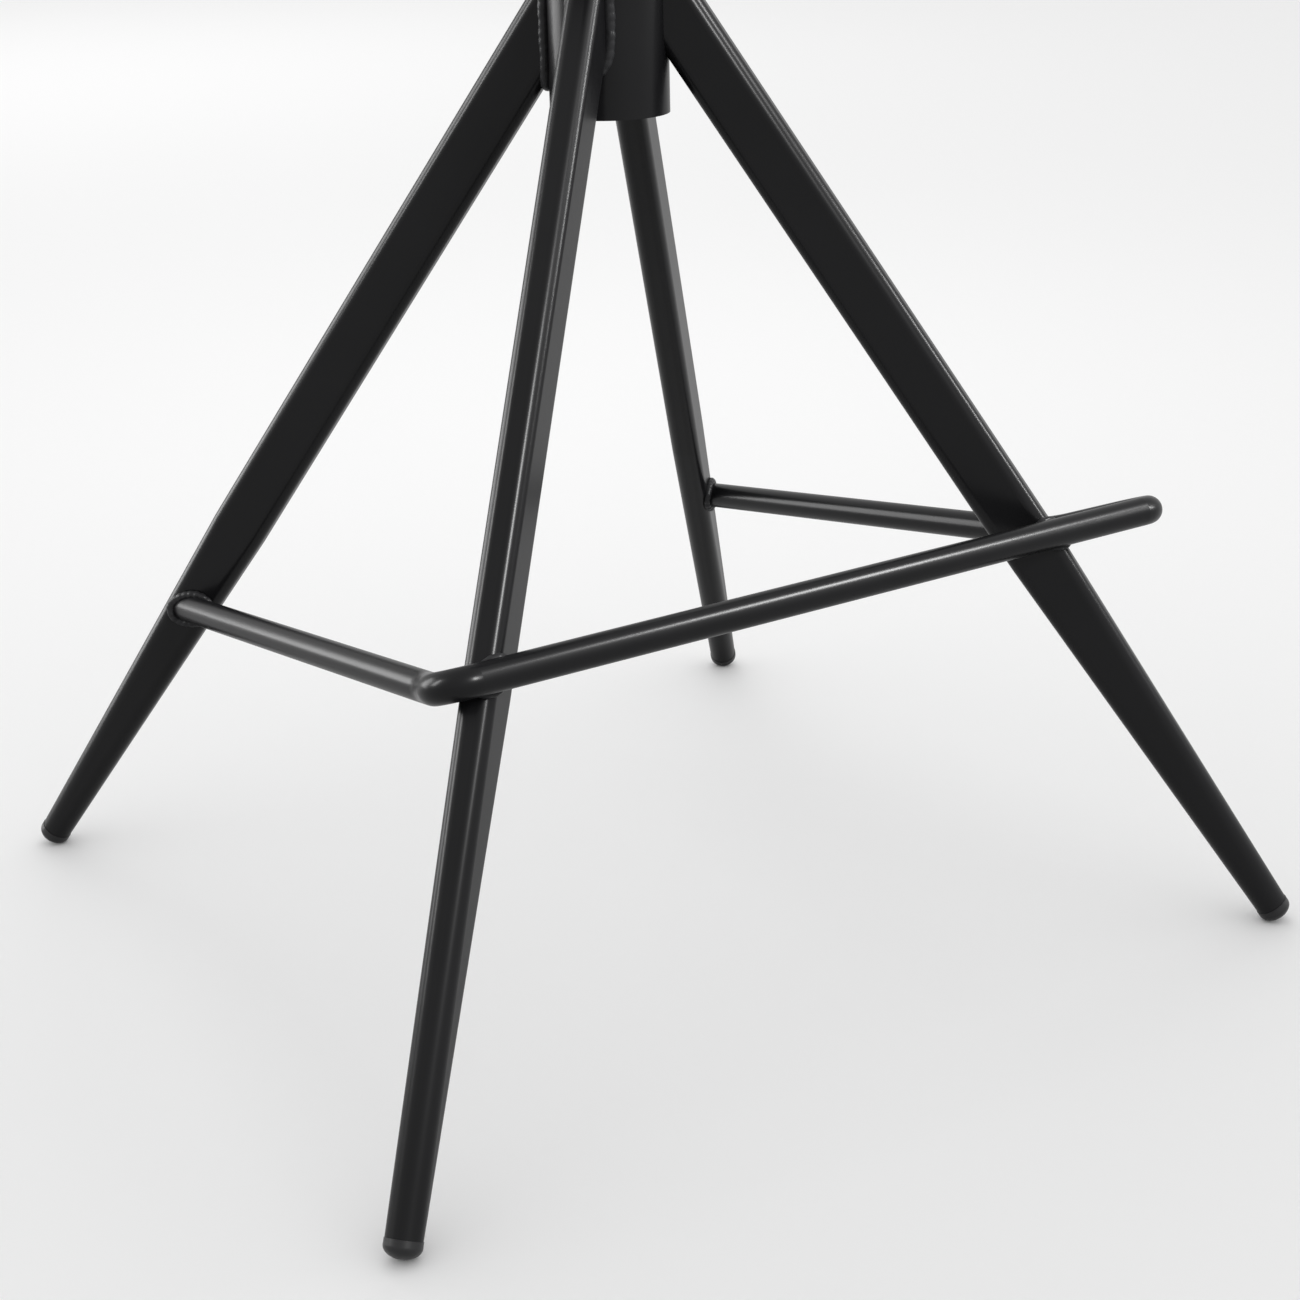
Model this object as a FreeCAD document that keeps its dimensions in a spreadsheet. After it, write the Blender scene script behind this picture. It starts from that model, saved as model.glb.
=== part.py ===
"""Four-legged swivel stool base: welded tube frame, bent footrest, swivel spindle and seat plate.

Millimetres, +Z up. The origin is on the floor under the hub's axis; the footrest bar is on the -Y side.
"""
import FreeCAD, Part
import math
import os

import Sketcher

from FreeCAD import Placement, Rotation, Vector

doc = FreeCAD.newDocument("StoolBase")

# ---------------------------------------------------------------- driving dimensions (mm, degrees)
DIMENSIONS = [
    # hub: the upright tube that the legs are welded to
    ("hub_radius", 31.75), ("hub_wall", 3.0), ("hub_height", 97.6), ("hub_top", 557.0),
    # legs: the centre line meets the floor at floor_reach from the hub's axis,
    # and meets that axis apex_rise above the hub's top
    ("front_floor_reach", 378.5), ("front_apex_rise", 6.3), ("front_azimuth", 49.0),
    ("rear_floor_reach", 382.0), ("rear_apex_rise", -5.3), ("rear_azimuth", 43.3),
    ("leg_depth", 31.8), ("leg_width", 18.1), ("leg_corner", 6.5), ("leg_wall", 1.5),
    ("leg_foot_diameter", 18.0), ("leg_foot_corner", 8.9), ("taper_end", 264.0),
    # glides: domed plastic feet pushed into the legs
    ("glide_dome", 6.0), ("glide_lip", 3.0), ("glide_proud", 0.3), ("glide_stem", 22.0),
    ("stem_clearance", 0.1),
    # footrest: one bent tube, welded to the outside of the front legs and the front of the rear legs
    ("rest_diameter", 16.0), ("rest_wall", 1.5), ("rest_height", 236.0), ("rest_bite", 0.5),
    ("arm_rear_height", 166.1), ("arm_rear_outset", 5.0),
    ("arm_front_height", 219.2), ("arm_front_setback", 42.0),
    ("left_arm_outset", 25.5), ("right_arm_outset", 35.5),
    ("left_corner_outset", 42.5), ("right_corner_outset", 130.0),
    ("arm_bend", 26.0), ("corner_bend", 14.0),
    # weld beads
    ("hub_weld", 4.0), ("rest_weld", 3.0),
    # swivel: spindle, two bushes, and a thrust bearing on the hub's top
    ("spindle_radius", 12.5), ("running_clearance", 0.06), ("spindle_tail", 2.5),
    ("lower_bush_height", 20.0), ("lower_bush_gap", 20.6), ("upper_bush_depth", 24.0), ("bush_flange", 3.0),
    ("washer_height", 2.0), ("washer_radius", 20.0), ("clip_height", 1.2), ("clip_radius", 16.0),
    ("clip_groove", 1.0), ("clip_play", 0.15),
    ("race_height", 3.0), ("race_inner", 14.0), ("race_outer", 29.0),
    ("ball_radius", 3.0), ("ball_orbit", 21.5), ("ball_count", 12), ("ball_play", 0.15),
    ("cage_height", 2.0), ("cage_play", 0.3),
    ("shoulder_height", 4.0), ("shoulder_radius", 30.0),
    ("cover_sheet", 1.5), ("cover_gap", 0.5), ("cover_drop", 16.5),
    ("boss_radius", 20.0), ("boss_height", 10.0), ("spigot_radius", 10.0),
    # seat plate and its screw holes
    ("plate_side", 150.0), ("plate_thickness", 4.0), ("plate_corner", 12.0),
    ("hole_spacing", 120.0), ("hole_radius", 3.5), ("plate_weld", 4.0),
    # plug that closes the hub's lower end
    ("plug_disc", 2.0), ("plug_skirt", 9.0), ("plug_wall", 2.0), ("plug_recess", 0.6),
]

sheet = doc.addObject("Spreadsheet::Sheet", "sizes")
for row, (alias, value) in enumerate(DIMENSIONS, start=1):
    sheet.set(f"A{row}", alias.replace("_", " "))
    sheet.set(f"B{row}", str(value))
    sheet.setAlias(f"B{row}", alias)
doc.recompute()


def size(alias):
    """Plain number held by a cell of the sheet."""
    return float(sheet.get(alias))


def bind(thing, **expressions):
    """Bind properties to the sheet; a double underscore stands for a dot in the property's path."""
    for path, expression in expressions.items():
        thing.setExpression(path.replace("__", "."), expression)
    return thing


def cylinder(name, radius, height, base="0"):
    solid = doc.addObject("Part::Cylinder", name)
    return bind(solid, Radius=radius, Height=height, Placement__Base__z=base)


def fused(name, *pieces):
    joined = doc.addObject("Part::MultiFuse", name)
    joined.Shapes = list(pieces)
    joined.Refine = True
    return joined


def cut(name, base, tool):
    result = doc.addObject("Part::Cut", name)
    result.Base = base
    result.Tool = tool
    return result


subparts = []


def keep(node, thing):
    """List an object as a sub-part; its Label names its file."""
    thing.Label = node
    subparts.append(thing)
    return thing


# ---------------------------------------------------------------- hub tube and its plug
hub_bottom = "sizes.hub_top - sizes.hub_height"
hub_bore = "sizes.hub_radius - sizes.hub_wall"
hub_outside = cylinder("hub_outside", "sizes.hub_radius", "sizes.hub_height", hub_bottom)
hub_inside = cylinder("hub_inside", hub_bore, "sizes.hub_height + 2", hub_bottom + " - 1")
keep("hub_tube", cut("hub_tube_body", hub_outside, hub_inside))

plug_base = hub_bottom + " + sizes.plug_recess"
plug_outside = cylinder("plug_outside", hub_bore, "sizes.plug_skirt", plug_base)
plug_inside = cylinder("plug_inside", hub_bore + " - sizes.plug_wall", "sizes.plug_skirt",
                       plug_base + " + sizes.plug_disc")
keep("hub_bottom_plug", cut("hub_bottom_plug_body", plug_outside, plug_inside))

# ---------------------------------------------------------------- legs
LEGS = [
    # name, which sizes it uses, side of the YZ plane, front (-1) or rear (+1)
    ("front_left", "front", -1, -1), ("front_right", "front", 1, -1),
    ("rear_left", "rear", -1, 1), ("rear_right", "rear", 1, 1),
]


def leg_directions(pair, side, end):
    """Outward horizontal direction of a leg and its centre line's direction up to the hub."""
    azimuth = math.radians(size(pair + "_azimuth"))
    tilt = math.atan2(size(pair + "_floor_reach"), size("hub_top") + size(pair + "_apex_rise"))
    outward = Vector(side * math.sin(azimuth), end * math.cos(azimuth), 0)
    upward = outward * -math.sin(tilt) + Vector(0, 0, math.cos(tilt))
    return outward, upward


def leg_placement(pair, side, end):
    """Leg frame: origin where the centre line meets the floor, Z up the leg, X along its depth."""
    outward, upward = leg_directions(pair, side, end)
    across = upward.cross(outward).normalize()
    depthwise = across.cross(upward)
    return Placement(outward * size(pair + "_floor_reach"), Rotation(depthwise, across, upward, "ZXY"))


def leg_point(pair, side, end, height):
    """Point of a leg's centre line at a height above the floor."""
    outward, upward = leg_directions(pair, side, end)
    return outward * size(pair + "_floor_reach") + upward * (height / upward.z)


def tilt_of(pair):
    """A leg's lean from the vertical."""
    return f"(atan(sizes.{pair}_floor_reach / (sizes.hub_top + sizes.{pair}_apex_rise)))"


def dome_centre(pair):
    """Distance up the leg from the floor to the dome's widest section, so that the dome touches the floor."""
    tilt = tilt_of(pair)
    radius = "(sizes.leg_foot_diameter / 2 + sizes.glide_proud)"
    return f"(sqrt(pow(sizes.glide_dome * cos{tilt}; 2) + pow({radius} * sin{tilt}; 2)) / cos{tilt})"


def rounded_rectangle(body, name, depth, width, corner, height):
    """Sketch of a rounded rectangle, centred on the body's Z axis, at a height above its XY plane."""
    sketch = body.newObject("Sketcher::SketchObject", name)
    base_plane = [f for f in body.Origin.OriginFeatures if f.Role == "XY_Plane"][0]
    sketch.AttachmentSupport = [(base_plane, "")]
    sketch.MapMode = "FlatFace"
    bind(sketch, AttachmentOffset__Base__z=height)
    half_x, half_y, radius = 12.0, 8.0, 3.0
    corners = [(1, 1, 0), (-1, 1, 90), (-1, -1, 180), (1, -1, 270)]
    for sign_x, sign_y, start in corners:
        centre = Vector(sign_x * (half_x - radius), sign_y * (half_y - radius), 0)
        circle = Part.Circle(centre, Vector(0, 0, 1), radius)
        sketch.addGeometry(Part.ArcOfCircle(circle, math.radians(start), math.radians(start + 90)))
    for index, (first, second) in enumerate([(0, 1), (1, 2), (2, 3), (3, 0)]):
        start_point = sketch.getPoint(first, 2)
        end_point = sketch.getPoint(second, 1)
        sketch.addGeometry(Part.LineSegment(start_point, end_point))
        sketch.addConstraint(Sketcher.Constraint("Tangent", first, 2, 4 + index, 1))
        sketch.addConstraint(Sketcher.Constraint("Tangent", 4 + index, 2, second, 1))
    for line in (4, 6):
        sketch.addConstraint(Sketcher.Constraint("Horizontal", line))
    for line in (5, 7):
        sketch.addConstraint(Sketcher.Constraint("Vertical", line))
    for arc in (1, 2, 3):
        sketch.addConstraint(Sketcher.Constraint("Equal", 0, arc))
    sketch.addConstraint(Sketcher.Constraint("Symmetric", 0, 3, 2, 3, -1, 1))
    for label, kind, elements, value, expression in (
            ("depth", "DistanceX", (5, 1, 7, 1), 2 * half_x, depth),
            ("width", "DistanceY", (6, 1, 4, 1), 2 * half_y, width),
            ("corner", "Radius", (0,), radius, corner)):
        number = sketch.addConstraint(Sketcher.Constraint(kind, *elements, value))
        sketch.renameConstraint(number, label)
        sketch.setExpression("Constraints." + label, expression)
    return sketch


def leg_blank(name, pair, placement, grow, foot_overrun):
    """Solid leg, grown on every side: a tapered foot end, then straight up to the hub's axis."""
    body = doc.addObject("PartDesign::Body", name)
    foot_height = f"{dome_centre(pair)} + sizes.glide_lip - {foot_overrun}"
    foot_across = f"sizes.leg_foot_diameter + 2 * ({grow})"
    foot = rounded_rectangle(body, name + "_foot", foot_across, foot_across,
                             f"sizes.leg_foot_corner + {grow}", foot_height)
    knee = rounded_rectangle(body, name + "_knee", f"sizes.leg_depth + 2 * ({grow})",
                             f"sizes.leg_width + 2 * ({grow})", f"sizes.leg_corner + {grow}",
                             "sizes.taper_end")
    taper = body.newObject("PartDesign::AdditiveLoft", name + "_taper")
    taper.Profile = foot
    taper.Sections = [knee]
    taper.Ruled = True
    straight = body.newObject("PartDesign::Pad", name + "_straight")
    straight.Profile = knee
    straight.setExpression("Length", f"sizes.{pair}_floor_reach / sin{tilt_of(pair)} - sizes.taper_end")
    body.Tip = straight
    body.Placement = placement
    return body


cope_cutter = cylinder("cope_cutter", "sizes.hub_radius", "sizes.hub_top + 200")
leg_solids = {}
weld_envelopes = {}
for leg, pair, side, end in LEGS:
    placement = leg_placement(pair, side, end)
    outer = leg_blank(f"{leg}_outer", pair, placement, "0", "0")
    bore = leg_blank(f"{leg}_bore", pair, placement, "(0 - sizes.leg_wall)", "1")
    leg_solids[leg] = outer
    weld_envelopes[leg] = leg_blank(f"{leg}_weld_envelope", pair, placement, "sizes.hub_weld", "0")
    tube = cut(f"{leg}_tube", outer, bore)
    keep(f"leg_{leg}", cut(f"leg_{leg}_body", tube, cope_cutter))

# ---------------------------------------------------------------- glides
for leg, pair, side, end in LEGS:
    dome = doc.addObject("Part::Ellipsoid", f"{leg}_dome")
    lip_radius = "sizes.leg_foot_diameter / 2 + sizes.glide_proud"
    bind(dome, Radius1="sizes.glide_dome", Radius2=lip_radius, Radius3=lip_radius,
         Placement__Base__z=dome_centre(pair))
    dome.Angle2 = 0
    lip = cylinder(f"{leg}_lip", lip_radius, "sizes.glide_lip", dome_centre(pair))
    stem = cylinder(f"{leg}_stem", "sizes.leg_foot_diameter / 2 - sizes.leg_wall - sizes.stem_clearance",
                    "sizes.glide_stem + sizes.glide_lip", dome_centre(pair))
    glide = keep(f"glide_{leg}", fused(f"glide_{leg}_body", dome, lip, stem))
    glide.Placement = leg_placement(pair, side, end)

doc.recompute()


# ---------------------------------------------------------------- footrest
def bent_path(points, radii):
    """Straight runs joined by tangent arcs, one radius for each inner point."""
    edges = []
    start = points[0]
    for before, corner, after, radius in zip(points, points[1:], points[2:], radii):
        back = (before - corner).normalize()
        on = (after - corner).normalize()
        turn = math.pi - back.getAngle(on)
        reach = radius * math.tan(turn / 2)
        middle = (back + on).normalize()
        centre = corner + middle * (radius / math.cos(turn / 2))
        first, last = corner + back * reach, corner + on * reach
        edges.append(Part.LineSegment(start, first).toShape())
        edges.append(Part.Arc(first, centre - middle * radius, last).toShape())
        start = last
    edges.append(Part.LineSegment(start, points[-1]).toShape())
    return Part.Wire(edges)


def swept_round(path, radius):
    """Solid round bar of a radius along a path."""
    first = path.Edges[0]
    ring = Part.Circle(first.valueAt(first.FirstParameter), first.tangentAt(first.FirstParameter), radius)
    return path.makePipeShell([Part.Wire(ring.toShape())], True, False)


def outer_corner(leg, height):
    """How far forward a front leg's skin reaches at a height: the footrest bar rests against it."""
    solid = leg_solids[leg].Shape
    slab = Part.makeBox(900, 900, 0.2, Vector(-450, -450, height - 0.1))
    return solid.common(slab).BoundBox.YMin


rest_radius = size("rest_diameter") / 2
rest_height = size("rest_height")
bar_y = outer_corner("front_right", rest_height) - rest_radius + size("rest_bite")
front_leg_x = leg_point("front", 1, -1, rest_height).x
arm_end = leg_point("rear", 1, 1, size("arm_rear_height"))


def half_path(side, arm_outset, corner_outset):
    """One arm and its corner, from the rear leg forward; the arm flares out beside the front leg."""
    return [
        Vector(side * (arm_end.x + size("arm_rear_outset")), arm_end.y, arm_end.z),
        Vector(side * (front_leg_x + arm_outset), bar_y + size("arm_front_setback"),
               size("arm_front_height")),
        Vector(side * (front_leg_x + corner_outset), bar_y, rest_height),
    ]


right_half = half_path(1, size("right_arm_outset"), size("right_corner_outset"))
left_half = half_path(-1, size("left_arm_outset"), size("left_corner_outset"))
rest_points = right_half + left_half[::-1]
rest_bends = [size(name) for name in ("arm_bend", "corner_bend", "corner_bend", "arm_bend")]
rest_path = bent_path(rest_points, rest_bends)
rest_outside = swept_round(rest_path, rest_radius)
rest_inside = swept_round(rest_path, rest_radius - size("rest_wall"))


def without(shape, cutters):
    for cutter in cutters:
        shape = shape.cut(cutter)
    return shape


def largest_solid(shape):
    return max(shape.Solids, key=lambda solid: solid.Volume)


leg_skins = [solid.Shape for solid in leg_solids.values()]
footrest = doc.addObject("Part::Feature", "footrest_tube_body")
footrest.Shape = largest_solid(without(rest_outside.cut(rest_inside), leg_skins))
keep("footrest_tube", footrest)

# ---------------------------------------------------------------- weld beads
hub_weld = size("hub_weld")
hub_skin = Part.makeCylinder(size("hub_radius"), size("hub_top") + 200)
weld_sleeve = Part.makeCylinder(size("hub_radius") + hub_weld, size("hub_height"),
                                Vector(0, 0, size("hub_top") - size("hub_height"))).cut(hub_skin)
hub_beads = []
for leg, envelope in weld_envelopes.items():
    ring = envelope.Shape.common(weld_sleeve).cut(leg_solids[leg].Shape)
    hub_beads.append(largest_solid(ring))
hub_weld_beads = doc.addObject("Part::Feature", "hub_weld_beads_body")
hub_weld_beads.Shape = Part.makeCompound(hub_beads)
keep("hub_weld_beads", hub_weld_beads)

rest_envelope = swept_round(rest_path, rest_radius + size("rest_weld"))
rest_beads = []
for leg, envelope in weld_envelopes.items():
    bead = without(rest_envelope.common(envelope.Shape), [leg_solids[leg].Shape, rest_outside])
    main = largest_solid(bead)
    rest_beads += [solid for solid in bead.Solids if solid.Volume > main.Volume / 5]
rest_weld_beads = doc.addObject("Part::Feature", "footrest_weld_beads_body")
rest_weld_beads.Shape = Part.makeCompound(rest_beads)
keep("footrest_weld_beads", rest_weld_beads)


# ---------------------------------------------------------------- swivel bearing inside and on the hub
def ring(node, outer, inner, height, base):
    """Plain ring on the hub's axis."""
    outside = cylinder(node + "_outside", outer, height, base)
    inside = cylinder(node + "_inside", inner, height + " + 2", base + " - 1")
    return cut(node + "_body", outside, inside)


spindle_bore = "sizes.spindle_radius + sizes.running_clearance"
lower_bush_base = hub_bottom + " + sizes.lower_bush_gap"
keep("lower_bush", ring("lower_bush", hub_bore, spindle_bore, "sizes.lower_bush_height", lower_bush_base))
upper_sleeve = ring("upper_bush_sleeve", hub_bore, spindle_bore, "sizes.upper_bush_depth",
                    "sizes.hub_top - sizes.upper_bush_depth")
upper_flange = ring("upper_bush_flange", "sizes.hub_radius", spindle_bore, "sizes.bush_flange",
                    "sizes.hub_top")
keep("upper_bush", fused("upper_bush_body", upper_sleeve, upper_flange))

# thrust bearing: two grooved races with a caged row of balls between them
lower_race_base = "sizes.hub_top + sizes.bush_flange"
ball_centre = f"{lower_race_base} + sizes.race_height + sizes.ball_radius / 2 + sizes.ball_play"
race_spacing = "sizes.race_height + sizes.ball_radius + 2 * sizes.ball_play"
upper_race_base = f"{lower_race_base} + {race_spacing}"
for node, base in (("lower_race", lower_race_base), ("upper_race", upper_race_base)):
    groove = doc.addObject("Part::Torus", node + "_groove")
    bind(groove, Radius1="sizes.ball_orbit", Radius2="sizes.ball_radius + sizes.ball_play",
         Placement__Base__z=ball_centre)
    washer = ring(node + "_washer", "sizes.race_outer", "sizes.race_inner", "sizes.race_height", base)
    keep(node, cut(node + "_body", washer, groove))

doc.recompute()
ball_height = (size("hub_top") + size("bush_flange") + size("race_height") + size("ball_radius") / 2
               + size("ball_play"))
orbit = size("ball_orbit")
balls, pockets = [], []
for index in range(int(size("ball_count"))):
    angle = 2 * math.pi * index / size("ball_count")
    place = Vector(orbit * math.cos(angle), orbit * math.sin(angle), ball_height)
    balls.append(Part.makeSphere(size("ball_radius"), place))
    pockets.append(Part.makeSphere(size("ball_radius") + size("cage_play"), place))
bearing_balls = doc.addObject("Part::Feature", "bearing_balls_body")
bearing_balls.Shape = Part.makeCompound(balls)
keep("bearing_balls", bearing_balls)

cage_height = size("cage_height")
cage_base = Vector(0, 0, ball_height - cage_height / 2)
cage_outer = Part.makeCylinder(orbit + 1.8 * size("ball_radius"), cage_height, cage_base)
cage_inner = Part.makeCylinder(orbit - 1.8 * size("ball_radius"), cage_height, cage_base)
ball_cage = doc.addObject("Part::Feature", "ball_cage_body")
ball_cage.Shape = largest_solid(without(cage_outer.cut(cage_inner), pockets))
keep("ball_cage", ball_cage)

# spindle: shaft with a groove for its clip, a shoulder on the upper race and a spigot through the plate
shoulder_base = f"{upper_race_base} + sizes.race_height"
plate_base = f"{shoulder_base} + sizes.shoulder_height + sizes.cover_sheet + sizes.boss_height"
clip_base = f"{lower_bush_base} - sizes.clip_play - sizes.washer_height - sizes.clip_height"
tail_base = f"{clip_base} - sizes.spindle_tail"
shaft = cylinder("spindle_shaft", "sizes.spindle_radius", f"{plate_base} - ({tail_base})", tail_base)
shoulder = cylinder("spindle_shoulder", "sizes.shoulder_radius", "sizes.shoulder_height", shoulder_base)
spigot = cylinder("spindle_spigot", "sizes.spigot_radius", "sizes.plate_thickness + 1", f"{plate_base} - 1")
groove_ring = ring("spindle_groove", "sizes.spindle_radius + 1", "sizes.spindle_radius - sizes.clip_groove",
                   "sizes.clip_height", clip_base)
keep("spindle", cut("spindle_body", fused("spindle_blank", shaft, shoulder, spigot), groove_ring))
keep("thrust_washer", ring("thrust_washer", "sizes.washer_radius", spindle_bore, "sizes.washer_height",
                           f"{lower_bush_base} - sizes.clip_play - sizes.washer_height"))

# retaining clip: an open ring that snaps into the groove
clip_ring = ring("retaining_clip_ring", "sizes.clip_radius", "sizes.spindle_radius - sizes.clip_groove",
                 "sizes.clip_height", clip_base)
clip_mouth = doc.addObject("Part::Box", "clip_mouth")
bind(clip_mouth, Length="2 * sizes.clip_radius", Width="sizes.spindle_radius", Height="sizes.clip_height + 2",
     Placement__Base__y="0 - sizes.spindle_radius / 2", Placement__Base__z=clip_base + " - 1")
keep("retaining_clip", cut("retaining_clip_body", clip_ring, clip_mouth))

# cover: a shallow cup that turns with the spindle and hides the bearing
cover_base = f"{shoulder_base} + sizes.shoulder_height + sizes.cover_sheet - sizes.cover_drop"
cover_inside_radius = "sizes.hub_radius + sizes.cover_gap"
cover_cup = ring("bearing_cover_cup", cover_inside_radius + " + sizes.cover_sheet", spindle_bore,
                 "sizes.cover_drop", cover_base)
cover_hollow = cylinder("bearing_cover_hollow", cover_inside_radius, "sizes.cover_drop",
                        cover_base + " - sizes.cover_sheet")
keep("bearing_cover", cut("bearing_cover_body", cover_cup, cover_hollow))

# boss and plate welded to the spindle's head
boss_base = f"{shoulder_base} + sizes.shoulder_height + sizes.cover_sheet"
keep("plate_boss", ring("plate_boss", "sizes.boss_radius", "sizes.spindle_radius", "sizes.boss_height",
                        boss_base))

plate = doc.addObject("PartDesign::Body", "seat_plate_body")
plate_outline = rounded_rectangle(plate, "plate_outline", "sizes.plate_side", "sizes.plate_side",
                                  "sizes.plate_corner", "0")
plate_pad = plate.newObject("PartDesign::Pad", "plate_pad")
plate_pad.Profile = plate_outline
plate_pad.setExpression("Length", "sizes.plate_thickness")
plate.Tip = plate_pad
plate.setExpression("Placement.Base.z", plate_base)
drill = "sizes.plate_thickness + 2"
drill_base = plate_base + " - 1"
plate_cutters = [cylinder("plate_centre_hole", "sizes.spigot_radius", drill, drill_base)]
for column in (-1, 1):
    for row in (-1, 1):
        hole = cylinder(f"plate_hole_{column + 1}{row + 1}", "sizes.hole_radius", drill, drill_base)
        bind(hole, Placement__Base__x=f"{column} * sizes.hole_spacing / 2",
             Placement__Base__y=f"{row} * sizes.hole_spacing / 2")
        plate_cutters.append(hole)
keep("seat_plate", cut("seat_plate_drilled", plate, fused("plate_cutters", *plate_cutters)))

weld_cone = doc.addObject("Part::Cone", "plate_weld_cone")
bind(weld_cone, Radius1="sizes.boss_radius", Radius2="sizes.boss_radius + sizes.plate_weld",
     Height="sizes.plate_weld", Placement__Base__z=plate_base + " - sizes.plate_weld")
weld_core = cylinder("plate_weld_core", "sizes.boss_radius", "sizes.plate_weld + 2",
                     plate_base + " - sizes.plate_weld - 1")
keep("plate_weld_bead", cut("plate_weld_bead_body", weld_cone, weld_core))

# ---------------------------------------------------------------- checks and files
doc.recompute()
for thing in doc.Objects:
    if "Invalid" in thing.State or "Error" in thing.State:
        raise RuntimeError(f"{thing.Label} failed: {thing.State}")
for thing in subparts:
    if thing.Shape.isNull() or not thing.Shape.isValid() or not thing.Shape.Solids:
        raise RuntimeError(f"{thing.Label} has no valid solid")

os.makedirs("parts", exist_ok=True)
for thing in subparts:
    thing.Shape.exportStep(f"parts/{thing.Label}.step")
    print(thing.Label, len(thing.Shape.Solids), round(thing.Shape.Volume))
print("footrest bar y", round(bar_y, 2), "path length", round(rest_path.Length, 1), "outer volume ratio",
      round(rest_outside.Volume / (math.pi * rest_radius ** 2 * rest_path.Length), 4))
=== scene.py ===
"""Swivel stool base in satin black powder coat, on a pale studio floor. Metres, +Z up."""
import math

import bpy
from mathutils import Matrix, Vector
from mathutils.bvhtree import BVHTree


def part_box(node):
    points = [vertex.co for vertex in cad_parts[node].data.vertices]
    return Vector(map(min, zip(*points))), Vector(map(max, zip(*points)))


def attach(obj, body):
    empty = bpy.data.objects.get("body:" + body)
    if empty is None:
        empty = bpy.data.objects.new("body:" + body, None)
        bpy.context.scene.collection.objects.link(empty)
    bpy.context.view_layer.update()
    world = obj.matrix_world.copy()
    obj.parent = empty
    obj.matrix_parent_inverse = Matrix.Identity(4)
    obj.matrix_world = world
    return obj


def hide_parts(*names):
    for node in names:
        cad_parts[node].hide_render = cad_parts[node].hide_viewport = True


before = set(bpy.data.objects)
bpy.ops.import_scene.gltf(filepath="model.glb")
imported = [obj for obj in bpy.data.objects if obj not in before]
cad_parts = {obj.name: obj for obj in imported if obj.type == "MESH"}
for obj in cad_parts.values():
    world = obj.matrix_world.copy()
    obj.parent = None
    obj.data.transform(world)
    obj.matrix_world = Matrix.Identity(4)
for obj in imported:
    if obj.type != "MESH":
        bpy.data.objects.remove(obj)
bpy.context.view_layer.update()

MM = 0.001

# ------------------------------------------------------------------ camera
# A fairly long lens stands 1.2 m from the hub, in front of the left front leg, and looks down on the
# footrest. Azimuth and elevation give the way from the stool back to the lens, and the roll tips the frame
# a little.
camera_data = bpy.data.cameras.new("camera")
camera_data.sensor_width = 36.0
camera_data.lens = 63.73
camera_data.clip_start = 0.05
camera = bpy.data.objects.new("camera", camera_data)
bpy.context.scene.collection.objects.link(camera)
bpy.context.scene.camera = camera

azimuth, elevation, roll = math.radians(-32.80), math.radians(21.05), math.radians(-1.40)
away = Vector((math.sin(azimuth) * math.cos(elevation), -math.cos(azimuth) * math.cos(elevation),
               math.sin(elevation)))
level = Vector((0, 0, 1)).cross(away).normalized()
upright = away.cross(level)
right = level * math.cos(roll) + upright * math.sin(roll)
top = upright * math.cos(roll) - level * math.sin(roll)
turn = Matrix((right, top, away)).transposed().to_4x4()
lens_place = (-0.6570, -1.0454, 0.6303)
camera.matrix_world = Matrix.Translation(lens_place) @ turn

# ------------------------------------------------------------------ studio
# A pale matt floor that runs out of view, with two broad soft lights above it. Soft strips round the stool
# light it alone.


def linear(hex_code):
    """sRGB hex colour as linear RGBA."""
    channels = [int(hex_code[i:i + 2], 16) / 255 for i in (1, 3, 5)]
    return tuple(c / 12.92 if c <= 0.04045 else ((c + 0.055) / 1.055) ** 2.4 for c in channels) + (1.0,)


def add_node(tree, kind, inputs=None, **settings):
    """Adds a node, sets its properties, and fills its inputs with values or links."""
    node = tree.nodes.new(kind)
    for name, value in settings.items():
        setattr(node, name, value)
    for name, value in (inputs or {}).items():
        if isinstance(value, bpy.types.NodeSocket):
            tree.links.new(value, node.inputs[name])
        else:
            node.inputs[name].default_value = value
    return node


def new_material(name, **surface):
    """Material with one Principled shader; its constants are set on the shader's own sockets."""
    material = bpy.data.materials.new(name)
    material.use_nodes = True
    shader = material.node_tree.nodes["Principled BSDF"]
    for socket, value in surface.items():
        shader.inputs[socket.replace("_", " ")].default_value = value
    return material, material.node_tree, shader


# Matt white paper, with hardly any sheen of its own.
floor_material, _, _ = new_material("studio floor paper", Base_Color=linear("#F3F3F3"), Roughness=0.9,
                                    Specular_IOR_Level=0.1)
floor_reach = 20.0
corners = [(x * floor_reach, y * floor_reach, 0) for x, y in ((-1, -1), (1, -1), (1, 1), (-1, 1))]
floor_mesh = bpy.data.meshes.new("floor")
floor_mesh.from_pydata(corners, [], [(0, 1, 2, 3)])
floor_mesh.materials.append(floor_material)
floor = bpy.data.objects.new("floor", floor_mesh)
bpy.context.scene.collection.objects.link(floor)

lit_by_strips = bpy.data.collections.new("lit by strips")
floor_alone = bpy.data.collections.new("floor alone")
for group in (lit_by_strips, floor_alone):
    bpy.context.scene.collection.children.link(group)
floor_alone.objects.link(floor)


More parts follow.
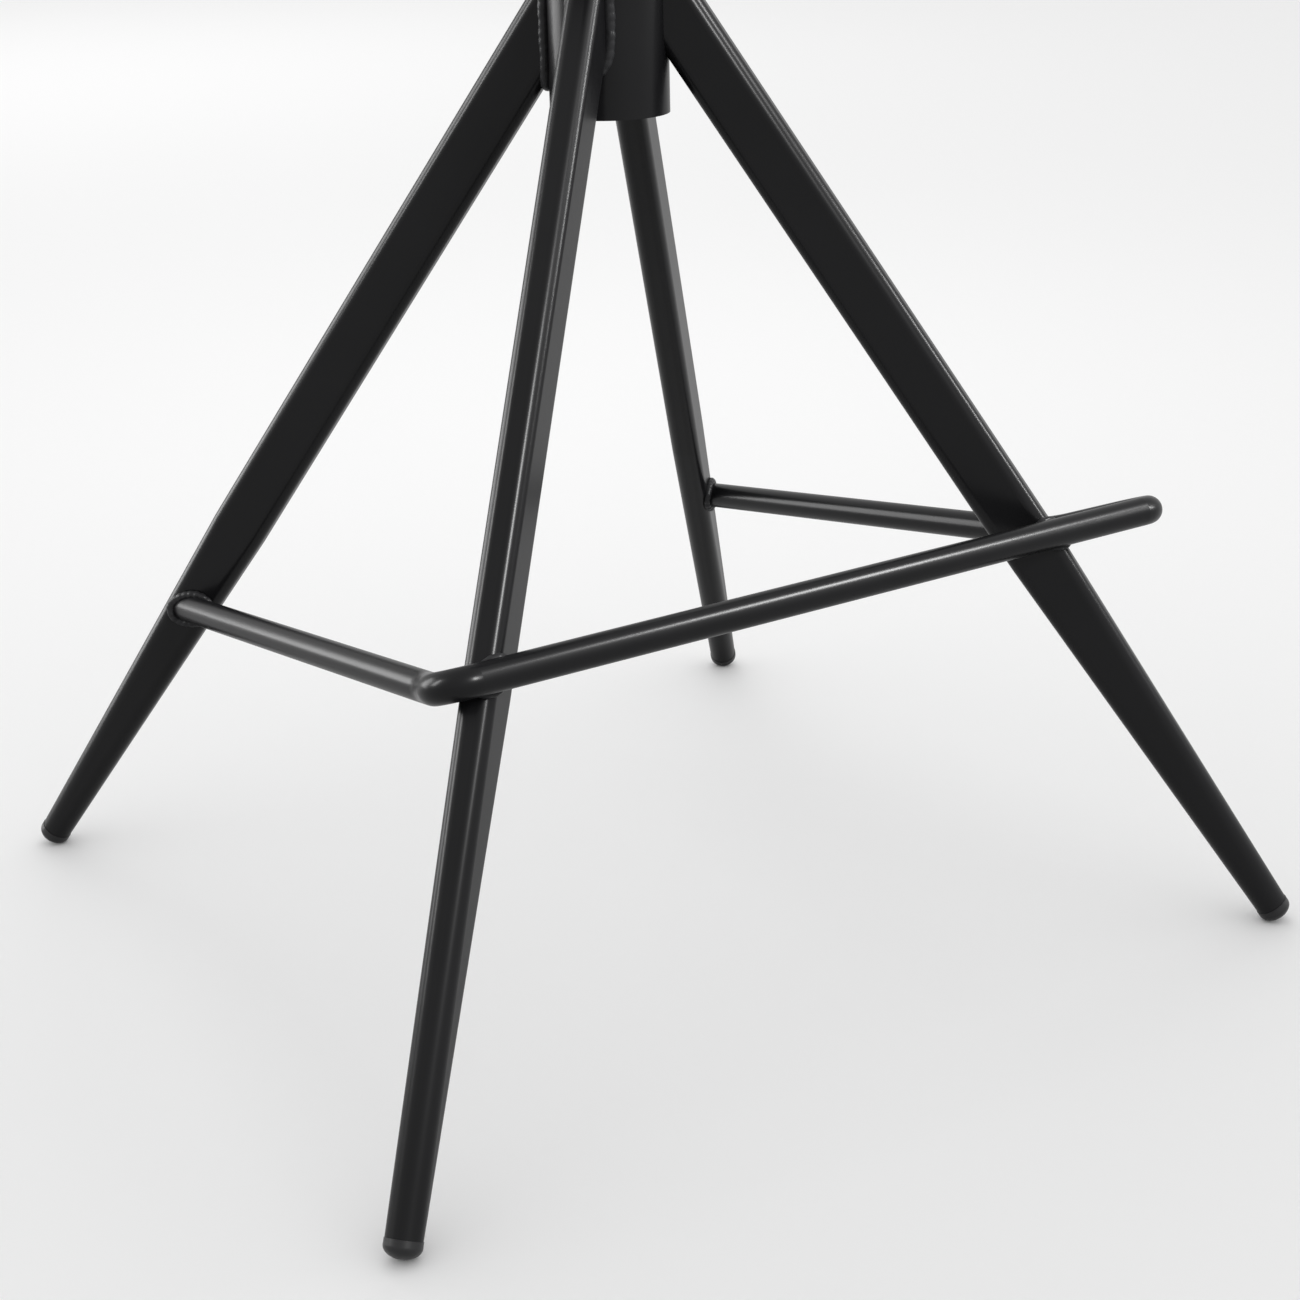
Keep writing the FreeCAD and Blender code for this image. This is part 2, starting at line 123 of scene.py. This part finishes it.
def soft_light(name, place, target, width, height, watts, receivers=lit_by_strips):
    """Area lamp that lights the receivers alone, so that the sheen and the floor are set apart."""
    data = bpy.data.lights.new(name, "AREA")
    data.shape = "RECTANGLE"
    data.size, data.size_y = width, height
    data.energy = watts
    lamp = bpy.data.objects.new(name, data)
    bpy.context.scene.collection.objects.link(lamp)
    place = Vector(place)
    turn = (place - Vector(target)).to_track_quat("Z", "Y").to_matrix().to_4x4()
    lamp.matrix_world = Matrix.Translation(place) @ turn
    lamp.light_linking.receiver_collection = receivers


# name, place, what it points at, width and height, power, what it lights
soft_light("far floor", (1.0, 4.2, 2.3), (1.0, 4.2, 0), 2.4, 2.4, 13, floor_alone)
soft_light("near floor", (0.5, 0.9, 1.4), (0.5, 0.9, 0), 1.0, 1.0, 3.1, floor_alone)
soft_light("overhead", (1.5, -1.2, 2.05), (0, 0, 0.25), 0.5, 0.5, 72)
soft_light("front", (0.09, -2.1, 1.7), (-0.15, -0.13, 0.4), 0.35, 0.6, 60)
soft_light("left", (-2.2, 0.9, 1.4), (0, 0, 0.35), 0.5, 1.2, 46)
soft_light("right", (2.16, -1.26, 1.2), (0.2, -0.17, 0.4), 0.3, 0.6, 30)
soft_light("back left", (-1.7, 2.5, 0.9), (0, 0, 0.3), 1.5, 1.7, 70)

world = bpy.data.worlds.new("studio")
world.use_nodes = True
world.node_tree.nodes["Background"].inputs["Color"].default_value = linear("#FFFFFF")
world.node_tree.nodes["Background"].inputs["Strength"].default_value = 0.91
bpy.context.scene.world = world
bpy.context.scene.view_settings.view_transform = "Standard"

# ------------------------------------------------------------------ powder coat
# The tubes, cover, boss and plate are steel, sprayed with black polyester powder and baked. That gives the
# eye an even, near-black skin with a faint orange peel, narrow highlights on the rounded corners and a soft
# sheen.

DRIFT_PER_METRE = 14.0                      # the spray's passes, about 70 mm apart
TINT_STOPS = ((0.3, 0.88), (0.7, 1.12))     # where the noise stands, and the share of the colour there
HAZE = 0.04                                 # how far the roughness drifts either way


def powder_coat(name, colour, roughness, gloss, peel_mm, peel_depth_mm):
    """Baked powder: slow drifts of tint and haze over the piece, and an orange-peel bump."""
    material, tree, shader = new_material(name, Base_Color=linear(colour), Roughness=roughness,
                                          Specular_IOR_Level=0.06, Coat_Weight=gloss, Coat_Roughness=0.22)
    place = add_node(tree, "ShaderNodeTexCoord").outputs["Object"]
    drift = add_node(tree, "ShaderNodeTexNoise", {"Vector": place, "Scale": DRIFT_PER_METRE, "Detail": 3.0})
    tint = add_node(tree, "ShaderNodeValToRGB", {"Fac": drift.outputs["Fac"]})
    for stop, (at, share) in zip(tint.color_ramp.elements, TINT_STOPS):
        stop.position = at
        stop.color = [share * channel for channel in linear(colour)[:3]] + [1.0]
    haze = add_node(tree, "ShaderNodeMapRange", {
        "Value": drift.outputs["Fac"], "To Min": roughness - HAZE, "To Max": roughness + HAZE})
    peel = add_node(tree, "ShaderNodeTexNoise", {"Vector": place, "Scale": 1 / (peel_mm * MM), "Detail": 2.0})
    relief = add_node(tree, "ShaderNodeBump", {"Height": peel.outputs["Fac"],
                                               "Distance": peel_depth_mm * MM})
    tree.links.new(tint.outputs["Color"], shader.inputs["Base Color"])
    tree.links.new(haze.outputs["Result"], shader.inputs["Roughness"])
    tree.links.new(relief.outputs["Normal"], shader.inputs["Normal"])
    return material


def finish_nodes(material, *names):
    """Gives CAD nodes their finish through their material slots."""
    for name in names:
        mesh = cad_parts[name].data
        mesh.materials.clear()
        mesh.materials.append(material)


black_coat = powder_coat("satin black powder coat", "#0A0A0B", 0.36, 0.2, 2.6, 0.0025)
finish_nodes(black_coat, "hub_tube", "leg_front_left", "leg_front_right", "leg_rear_left", "leg_rear_right",
             "footrest_tube", "bearing_cover", "plate_boss", "seat_plate")

# ------------------------------------------------------------------ weld seams
# Each leg is fillet welded to the hub, and the footrest to each leg, by hand and under the coat. A bead lies
# in the corner between two skins, so its line is worked out as the points that are equally near to both.
LEG_DEPTH, LEG_WIDTH, LEG_CORNER = 31.8 * MM, 18.1 * MM, 6.5 * MM
LEGS = {
    # floor reach and apex height (mm), azimuth (degrees), side, end
    "leg_front_left": (378.5, 563.3, 49.0, -1, -1), "leg_front_right": (378.5, 563.3, 49.0, 1, -1),
    "leg_rear_left": (382.0, 551.7, 43.3, -1, 1), "leg_rear_right": (382.0, 551.7, 43.3, 1, 1),
}
BAR_AXIS = Vector((0, -168.83, 236.0)) * MM
REST_RADIUS = 8 * MM
TOUCHING = 2e-6             # m from the wanted gap, near enough to stop
CORNER_STEP = 7.5           # degrees between points round a tube or a leg's corner
HUB_START, HUB_TRAVEL = 140 * MM, 200 * MM      # down from a leg's apex, and the longest way back up
REST_START, REST_TRAVEL = 45 * MM, 120 * MM     # in front of an arm's end, and the longest way to its leg
BAR_SIDE = 166 * MM                             # about where a leg crosses the bar, from the middle
BAR_START, BAR_TRAVEL = 30 * MM, 60 * MM        # beside a leg on the bar, and the longest way to that leg
BAR_STEP, BAR_STEPS = 1.5, 60                   # degrees, and steps each way from the side that faces the leg
ARMS = {
    # where each arm of the footrest ends at a rear leg, and where it begins to flare beside a front leg
    "leg_rear_left": (Vector((-188.1, 194.3, 166.1)) * MM, Vector((-191.5, -126.83, 219.2)) * MM),
    "leg_rear_right": (Vector((188.1, 194.3, 166.1)) * MM, Vector((201.5, -126.83, 219.2)) * MM),
}


def skin_of(node):
    """Tree of a CAD node's faces, for asking what lies nearest."""
    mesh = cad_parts[node].data
    return BVHTree.FromPolygons([v.co for v in mesh.vertices], [p.vertices for p in mesh.polygons])


def advance(point, direction, skin, gap, limit):
    """Moves a point along a direction until a skin is a gap away; None if it never comes that near."""
    travelled = 0.0
    while travelled < limit:
        step = skin.find_nearest(point)[3] - gap
        if step < TOUCHING:
            return point
        point = point + direction * step
        travelled += step
    return None


def ring_round(axis_point, direction, radius, turns):
    """Points of a circle square to a direction; the first turn angle lies level."""
    level = direction.cross(Vector((0, 0, 1))).normalized()
    up = level.cross(direction)
    return [axis_point + radius * (level * math.cos(turn) + up * math.sin(turn)) for turn in turns]


def leg_frame(leg):
    """Where a leg's axis meets the floor, then its own three directions: up along it, across and deep."""
    reach, apex, azimuth, side, end = LEGS[leg]
    outward = Vector((side * math.sin(math.radians(azimuth)), end * math.cos(math.radians(azimuth)), 0))
    upward = (Vector((0, 0, apex)) - outward * reach).normalized()
    across = upward.cross(outward).normalized()
    return outward * reach * MM, upward, across, across.cross(upward)


def hub_seam(leg, gap):
    """Closed line round a leg's end, a gap from the leg's skin and from the hub's."""
    foot, upward, across, depthwise = leg_frame(leg)
    start = foot + upward * ((Vector((0, 0, LEGS[leg][1] * MM)) - foot).length - HUB_START)
    half_depth, half_width = LEG_DEPTH / 2 - LEG_CORNER, LEG_WIDTH / 2 - LEG_CORNER
    outline = []
    for quarter, (sign_x, sign_y) in enumerate(((1, 1), (-1, 1), (-1, -1), (1, -1))):
        for step in range(int(90 / CORNER_STEP) + 1):
            turn = math.radians(90 * quarter + CORNER_STEP * step)
            outline.append((sign_x * half_depth + (LEG_CORNER + gap) * math.cos(turn),
                            sign_y * half_width + (LEG_CORNER + gap) * math.sin(turn)))
    skin = skin_of("hub_tube")
    return [advance(start + depthwise * x + across * y, upward, skin, gap, HUB_TRAVEL) for x, y in outline]


def arm_seam(leg, gap):
    """Closed line round an end of the footrest, where it meets the front of a rear leg."""
    rear, flare = ARMS[leg]
    direction = (rear - flare).normalized()
    turns = [math.radians(step * CORNER_STEP) for step in range(int(360 / CORNER_STEP))]
    skin = skin_of(leg)
    ring = ring_round(rear - direction * REST_START, direction, REST_RADIUS + gap, turns)
    return [advance(point, direction, skin, gap, REST_TRAVEL) for point in ring]


def bar_seam(leg, gap):
    """Closed line round the patch where the bar touches a front leg's corner."""
    skin = skin_of(leg)
    sideways = Vector((1, 0, 0))
    touch = skin.find_nearest(BAR_AXIS + sideways * LEGS[leg][3] * BAR_SIDE)[0]
    flanks = {1: [], -1: []}
    for step in range(-BAR_STEPS, BAR_STEPS + 1):
        turn = math.radians(step * BAR_STEP)
        offset = (REST_RADIUS + gap) * Vector((0, math.cos(turn), math.sin(turn)))
        for way, flank in flanks.items():
            start = BAR_AXIS + offset + sideways * (touch.x - way * BAR_START)
            found = advance(start, sideways * way, skin, gap, BAR_TRAVEL)
            if found:
                flank.append(found)
    return flanks[1] + flanks[-1][::-1]


def seam_mesh(name, seams):
    """Mesh of closed lines; each point keeps the way out of its corner and how rough its bead is."""
    points, edges, outwards, reliefs = [], [], [], []
    for line, skins, relief in seams:
        line = [point for point in line if point]
        first = len(points)
        for index, point in enumerate(line):
            facing = sum(((point - skin.find_nearest(point)[0]).normalized() for skin in skins), Vector())
            points.append(point)
            outwards.extend(facing.normalized())
            reliefs.append(relief)
            edges.append((first + index, first + (index + 1) % len(line)))
    mesh = bpy.data.meshes.new(name)
    mesh.from_pydata(points, edges, [])
    mesh.attributes.new("outward", "FLOAT_VECTOR", "POINT").data.foreach_set("vector", outwards)
    mesh.attributes.new("relief", "FLOAT", "POINT").data.foreach_set("value", reliefs)
    return mesh


HUMP_MEAN, NOISE_MEAN = 0.6, 0.5    # near the means of |sin| and of the noise, so that a bead keeps its size


def bead_tree():
    """Geometry Nodes: a round bead along the lines, in overlapping crescent ripples, with an uneven swell."""
    tree = bpy.data.node_groups.new("hand-laid weld bead", "GeometryNodeTree")
    tree.interface.new_socket("Seams", in_out="INPUT", socket_type="NodeSocketGeometry")
    for label in ("Bead Radius", "Ripple Pitch", "Ripple Height", "Ripple Bow", "Unevenness", "Lump Scale",
                  "Step", "Seed"):
        tree.interface.new_socket(label, in_out="INPUT", socket_type="NodeSocketFloat")
    tree.interface.new_socket("Finish", in_out="INPUT", socket_type="NodeSocketMaterial")
    tree.interface.new_socket("Beads", in_out="OUTPUT", socket_type="NodeSocketGeometry")
    given = add_node(tree, "NodeGroupInput").outputs

    line = add_node(tree, "GeometryNodeMeshToCurve", {"Mesh": given["Seams"]})
    line = add_node(tree, "GeometryNodeResampleCurve",
                    {"Curve": line.outputs["Curve"], "Length": given["Step"]}, mode="LENGTH")
    length = add_node(tree, "GeometryNodeSplineLength").outputs["Length"]
    ripples = add_node(tree, "ShaderNodeMath", {0: length, 1: given["Ripple Pitch"]}, operation="DIVIDE")
    whole = add_node(tree, "ShaderNodeMath", {0: ripples.outputs[0]}, operation="ROUND")
    share = add_node(tree, "GeometryNodeSplineParameter").outputs["Factor"]
    count = add_node(tree, "ShaderNodeMath", {0: share, 1: whole.outputs[0]}, operation="MULTIPLY")
    place = add_node(tree, "GeometryNodeInputPosition").outputs["Position"]
    line = add_node(tree, "GeometryNodeStoreNamedAttribute",
                    {"Geometry": line.outputs["Curve"], "Name": "ripple", "Value": count.outputs[0]},
                    data_type="FLOAT", domain="POINT")
    line = add_node(tree, "GeometryNodeStoreNamedAttribute",
                    {"Geometry": line.outputs["Geometry"], "Name": "centre", "Value": place},
                    data_type="FLOAT_VECTOR", domain="POINT")
    section = add_node(tree, "GeometryNodeCurvePrimitiveCircle",
                       {"Resolution": 16, "Radius": given["Bead Radius"]})
    bead = add_node(tree, "GeometryNodeCurveToMesh",
                    {"Curve": line.outputs["Geometry"], "Profile Curve": section.outputs["Curve"]})
    ripple, relief, centre, outward = (
        add_node(tree, "GeometryNodeInputNamedAttribute", {"Name": name}, data_type=kind).outputs["Attribute"]
        for name, kind in (("ripple", "FLOAT"), ("relief", "FLOAT"), ("centre", "FLOAT_VECTOR"),
                           ("outward", "FLOAT_VECTOR")))

    # A ripple is bowed: it runs ahead where the bead faces out of its corner.
    arm = add_node(tree, "ShaderNodeVectorMath", {0: place, 1: centre}, operation="SUBTRACT")
    arm = arm.outputs["Vector"]
    rise = add_node(tree, "ShaderNodeVectorMath", {0: arm, 1: outward}, operation="DOT_PRODUCT")
    rise = add_node(tree, "ShaderNodeMath", {0: rise.outputs["Value"], 1: given["Bead Radius"]},
                    operation="DIVIDE")
    bowed = add_node(tree, "ShaderNodeMath", {0: rise.outputs[0], 1: given["Ripple Bow"], 2: ripple},
                     operation="MULTIPLY_ADD")
    turn = add_node(tree, "ShaderNodeMath", {0: bowed.outputs[0], 1: math.pi}, operation="MULTIPLY")
    wave = add_node(tree, "ShaderNodeMath", {0: turn.outputs[0]}, operation="SINE")
    hump = add_node(tree, "ShaderNodeMath", {0: wave.outputs[0]}, operation="ABSOLUTE")
    hump = add_node(tree, "ShaderNodeMath", {0: hump.outputs[0], 1: HUMP_MEAN}, operation="SUBTRACT")
    hump = add_node(tree, "ShaderNodeMath", {0: hump.outputs[0], 1: given["Ripple Height"]},
                    operation="MULTIPLY")

    # The hand's unevenness is added to the ripples, and both are scaled by how rough the bead is.
    lumps = add_node(tree, "ShaderNodeTexNoise",
                     {"Vector": place, "W": given["Seed"], "Scale": given["Lump Scale"], "Detail": 1.0},
                     noise_dimensions="4D").outputs["Fac"]
    lumps = add_node(tree, "ShaderNodeMath", {0: lumps, 1: NOISE_MEAN}, operation="SUBTRACT")
    swell = add_node(tree, "ShaderNodeMath",
                     {0: lumps.outputs[0], 1: given["Unevenness"], 2: hump.outputs[0]},
                     operation="MULTIPLY_ADD")
    size = add_node(tree, "ShaderNodeMath", {0: swell.outputs[0], 1: relief, 2: 1.0},
                    operation="MULTIPLY_ADD")
    grown = add_node(tree, "ShaderNodeVectorMath", {0: arm, "Scale": size.outputs[0]}, operation="SCALE")
    moved = add_node(tree, "ShaderNodeVectorMath", {0: centre, 1: grown.outputs["Vector"]}, operation="ADD")
    shaped = add_node(tree, "GeometryNodeSetPosition", {"Geometry": bead.outputs["Mesh"],
                                                        "Position": moved.outputs["Vector"]})
    smooth = add_node(tree, "GeometryNodeSetShadeSmooth", {"Geometry": shaped.outputs["Geometry"]})

    real = add_node(tree, "GeometryNodeRealizeInstances", {"Geometry": smooth.outputs["Geometry"]})
    coated = add_node(tree, "GeometryNodeSetMaterial", {"Geometry": real.outputs["Geometry"],
                                                        "Material": given["Finish"]})
    add_node(tree, "NodeGroupOutput", {"Beads": coated.outputs["Geometry"]})
    return tree


def lay_beads(name, mesh, tree, **settings):
    """Runs the tree on the lines and leaves a plain mesh of the beads, at the origin."""
    lines = bpy.data.objects.new(name + "_lines", mesh)
    bpy.context.scene.collection.objects.link(lines)
    modifier = lines.modifiers.new("beads", "NODES")
    modifier.node_group = tree
    for item in tree.interface.items_tree:
        label = item.name.replace(" ", "_")
        if item.in_out == "INPUT" and label in settings:
            modifier[item.identifier] = settings[label]
    graph = bpy.context.evaluated_depsgraph_get()
    result = bpy.data.meshes.new_from_object(lines.evaluated_get(graph))
    result.name = name
    bpy.data.objects.remove(lines)
    for spare in ("ripple", "relief", "centre", "outward"):
        if spare in result.attributes:
            result.attributes.remove(result.attributes[spare])
    bead = bpy.data.objects.new(name, result)
    bpy.context.scene.collection.objects.link(bead)
    return bead


# The coat runs thicker over a bead than over a tube, so its peel is coarser and its sheen a little duller.
# Its colour is painted lighter than the tubes' black: a painted sheen, for the light that the lumpy bead
# catches.
bead_coat_painted_sheen = powder_coat("satin black powder coat over weld", "#1B1B1C", 0.42, 0.12, 2.2, 0.03)
weld_bead = bead_tree()

HUB_GAP, REST_GAP, BAR_GAP = 1.2 * MM, 0.9 * MM, 1.6 * MM
hub_skin, rest_skin = skin_of("hub_tube"), skin_of("footrest_tube")
# For each leg, the share of the gap that its bead stands off by, and how rough the bead is. The front right
# leg's bead was dressed smooth, so it is sunk into the corner and hardly ripples.
HUB_BEADS = {"leg_front_left": (1.0, 0.7), "leg_front_right": (-1.0, 0.15), "leg_rear_left": (1.2, 0.55),
             "leg_rear_right": (0.9, 0.7)}
hub_lines = seam_mesh("hub_seams", [(hub_seam(leg, share * HUB_GAP), (hub_skin, skin_of(leg)), relief)
                                    for leg, (share, relief) in HUB_BEADS.items()])
hub_beads = lay_beads("hub_leg_welds", hub_lines, weld_bead, Bead_Radius=3.1 * MM, Ripple_Pitch=4.6 * MM,
                      Ripple_Height=0.12, Ripple_Bow=0.35, Unevenness=0.9, Lump_Scale=130.0, Step=0.5 * MM,
                      Seed=3.0, Finish=bead_coat_painted_sheen)
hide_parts("hub_weld_beads")
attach(hub_beads, "frame")

rest_lines = seam_mesh("footrest_seams", [
    (arm_seam("leg_rear_left", REST_GAP), (rest_skin, skin_of("leg_rear_left")), 1.0),
    (arm_seam("leg_rear_right", REST_GAP), (rest_skin, skin_of("leg_rear_right")), 1.0),
    (bar_seam("leg_front_left", BAR_GAP), (rest_skin, skin_of("leg_front_left")), 0.6),
    (bar_seam("leg_front_right", BAR_GAP), (rest_skin, skin_of("leg_front_right")), 0.6)])
rest_beads = lay_beads("footrest_welds", rest_lines, weld_bead, Bead_Radius=2.4 * MM, Ripple_Pitch=3.6 * MM,
                       Ripple_Height=0.13, Ripple_Bow=0.35, Unevenness=0.5, Lump_Scale=140.0, Step=0.4 * MM,
                       Seed=11.0, Finish=bead_coat_painted_sheen)
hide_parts("footrest_weld_beads")
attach(rest_beads, "frame")

# ------------------------------------------------------------------ plate weld
# The plate's boss is welded all round under the plate, on a turning jig, so this bead is the most even one.
plate_low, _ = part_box("seat_plate")
_, boss_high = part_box("plate_boss")
PLATE_GAP = 1.4 * MM
PLATE_STEP = 3              # degrees
nearly_up = Vector((0, 1e-6, 1)).normalized()       # a hair off upright, so that level has a meaning
plate_ring = ring_round(Vector((0, 0, plate_low[2] - PLATE_GAP)), nearly_up, boss_high[0] + PLATE_GAP,
                        [math.radians(turn) for turn in range(0, 360, PLATE_STEP)])
plate_lines = seam_mesh("plate_seam", [(plate_ring, (skin_of("plate_boss"), skin_of("seat_plate")), 1.0)])
plate_bead = lay_beads("plate_boss_weld", plate_lines, weld_bead, Bead_Radius=3.0 * MM, Ripple_Pitch=2.4 * MM,
                       Ripple_Height=0.12, Ripple_Bow=0.5, Unevenness=0.12, Lump_Scale=90.0, Step=0.5 * MM,
                       Seed=5.0, Finish=bead_coat_painted_sheen)
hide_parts("plate_weld_bead")
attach(plate_bead, "seat_head")

# ------------------------------------------------------------------ glides and hub plug
# The feet's domed glides and the disc that closes the hub are moulded in black polyethylene and pushed in.
# The mould leaves a fine sparked texture, and the floor polishes and greys the glides where they touch it.

COLOUR_A, COLOUR_B, MIXED_COLOUR = 6, 7, 2      # the colour sockets of a Mix node, which share their names
GREYED = 2.6                                    # how many times lighter the worn plastic is


def moulded_plastic(name, colour, roughness, grain_mm, worn_height):
    """Sparked skin, greyed up to an uneven height above the floor."""
    material, tree, shader = new_material(name, Base_Color=linear(colour), Roughness=roughness,
                                          Specular_IOR_Level=0.3)
    place = add_node(tree, "ShaderNodeTexCoord").outputs["Object"]
    grain = add_node(tree, "ShaderNodeTexNoise",
                     {"Vector": place, "Scale": 1 / (grain_mm * MM), "Detail": 3.0})
    relief = add_node(tree, "ShaderNodeBump", {"Height": grain.outputs["Fac"], "Distance": 0.02 * MM})
    tree.links.new(relief.outputs["Normal"], shader.inputs["Normal"])
    height = add_node(tree, "ShaderNodeSeparateXYZ", {"Vector": place}).outputs["Z"]
    drift = add_node(tree, "ShaderNodeTexNoise", {"Vector": place, "Scale": 260.0, "Detail": 4.0})
    edge = add_node(tree, "ShaderNodeMath", {0: drift.outputs["Fac"], 1: worn_height}, operation="MULTIPLY")
    worn = add_node(tree, "ShaderNodeMapRange", {"Value": height, "From Min": edge.outputs[0],
                                                 "From Max": 0.0, "To Min": 0.0, "To Max": 1.0})
    tint = add_node(tree, "ShaderNodeMix", {"Factor": worn.outputs["Result"]}, data_type="RGBA")
    tint.inputs[COLOUR_A].default_value = linear(colour)
    tint.inputs[COLOUR_B].default_value = tuple(GREYED * channel for channel in linear(colour)[:3]) + (1.0,)
    tree.links.new(tint.outputs[MIXED_COLOUR], shader.inputs["Base Color"])
    return material


finish_nodes(moulded_plastic("sparked black polyethylene, floor-worn", "#101011", 0.36, 0.35, 3 * MM),
             "glide_front_left", "glide_front_right", "glide_rear_left", "glide_rear_right")
# The plug is far above the floor, so none of it is worn.
finish_nodes(moulded_plastic("sparked black polyethylene", "#161616", 0.5, 0.5, 1 * MM), "hub_bottom_plug")

# ------------------------------------------------------------------ bushes and ball cage
# Two bushes of natural nylon line the hub, and a moulded amber nylon cage spaces the balls. Nylon is a milky,
# slightly see-through plastic, so light spreads a little under its skin and its colour drifts softly.


def nylon(name, colour, shade):
    """Milky skin that lets a little light spread under it, between two shades, with faint mould marks."""
    material, tree, shader = new_material(name, Base_Color=linear(colour), Roughness=0.45, IOR=1.53,
                                          Subsurface_Weight=0.15, Subsurface_Scale=1.0 * MM)
    place = add_node(tree, "ShaderNodeTexCoord").outputs["Object"]
    drift = add_node(tree, "ShaderNodeTexNoise", {"Vector": place, "Scale": 60.0, "Detail": 4.0})
    tint = add_node(tree, "ShaderNodeValToRGB", {"Fac": drift.outputs["Fac"]})
    tint.color_ramp.elements[0].color = linear(shade)
    tint.color_ramp.elements[1].color = linear(colour)
    tree.links.new(tint.outputs["Color"], shader.inputs["Base Color"])
    marks = add_node(tree, "ShaderNodeTexNoise", {"Vector": place, "Scale": 900.0, "Detail": 2.0})
    relief = add_node(tree, "ShaderNodeBump", {"Height": marks.outputs["Fac"], "Distance": 0.015 * MM})
    tree.links.new(relief.outputs["Normal"], shader.inputs["Normal"])
    return material


finish_nodes(nylon("natural moulded nylon", "#E2E0DA", "#D3CFC3"), "lower_bush", "upper_bush")
finish_nodes(nylon("amber moulded nylon", "#C3A678", "#B08E5C"), "ball_cage")

# ------------------------------------------------------------------ bearing, spindle, washer and clip
# The races, balls and washer are ground bearing steel, the spindle is turned steel with clear zinc plate, and
# the clip is spring steel blackened in hot oxide. Turning and grinding leave fine rings round the axis.


def turned_steel(name, colour, roughness, ring_mm, ring_depth_mm):
    """Bare metal with fine rings round the axis and up the piece, and slow blotches in its polish."""
    material, tree, shader = new_material(name, Base_Color=linear(colour), Metallic=1.0, Roughness=roughness)
    place = add_node(tree, "ShaderNodeTexCoord").outputs["Object"]
    parts = add_node(tree, "ShaderNodeSeparateXYZ", {"Vector": place})
    flat = add_node(tree, "ShaderNodeCombineXYZ", {"X": parts.outputs["X"], "Y": parts.outputs["Y"]})
    radius = add_node(tree, "ShaderNodeVectorMath", {0: flat.outputs["Vector"]}, operation="LENGTH")
    both = add_node(tree, "ShaderNodeMath", {0: radius.outputs["Value"], 1: parts.outputs["Z"]},
                    operation="ADD")
    rings = add_node(tree, "ShaderNodeTexNoise", {"W": both.outputs[0], "Scale": 1 / (ring_mm * MM),
                                                  "Detail": 2.0}, noise_dimensions="1D")
    relief = add_node(tree, "ShaderNodeBump", {"Height": rings.outputs["Fac"],
                                               "Distance": ring_depth_mm * MM})
    blotch = add_node(tree, "ShaderNodeTexNoise", {"Vector": place, "Scale": 90.0, "Detail": 5.0})
    haze = add_node(tree, "ShaderNodeMapRange", {"Value": blotch.outputs["Fac"], "To Min": roughness - 0.08,
                                                 "To Max": roughness + 0.1})
    tree.links.new(relief.outputs["Normal"], shader.inputs["Normal"])
    tree.links.new(haze.outputs["Result"], shader.inputs["Roughness"])
    return material


# Rings this fine would be lost, so they are drawn at 0.25 to 0.4 mm, coarser than the real 0.05 mm feed.
finish_nodes(turned_steel("ground bearing steel", "#C4C4C6", 0.22, 0.25, 0.004), "lower_race", "upper_race",
             "bearing_balls", "thrust_washer")
finish_nodes(turned_steel("turned steel, clear zinc plate", "#B4B6BA", 0.32, 0.4, 0.008), "spindle")
finish_nodes(turned_steel("black oxide spring steel", "#5C5C60", 0.4, 0.4, 0.004), "retaining_clip")

# ------------------------------------------------------------------ what the lamps light
# The stool and its weld beads, steel, plastic and nylon alike, take the strip lamps' sheen. The floor is left
# out, so that it stays evenly bright.
for piece in [*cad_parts.values(), hub_beads, rest_beads, plate_bead]:
    lit_by_strips.objects.link(piece)
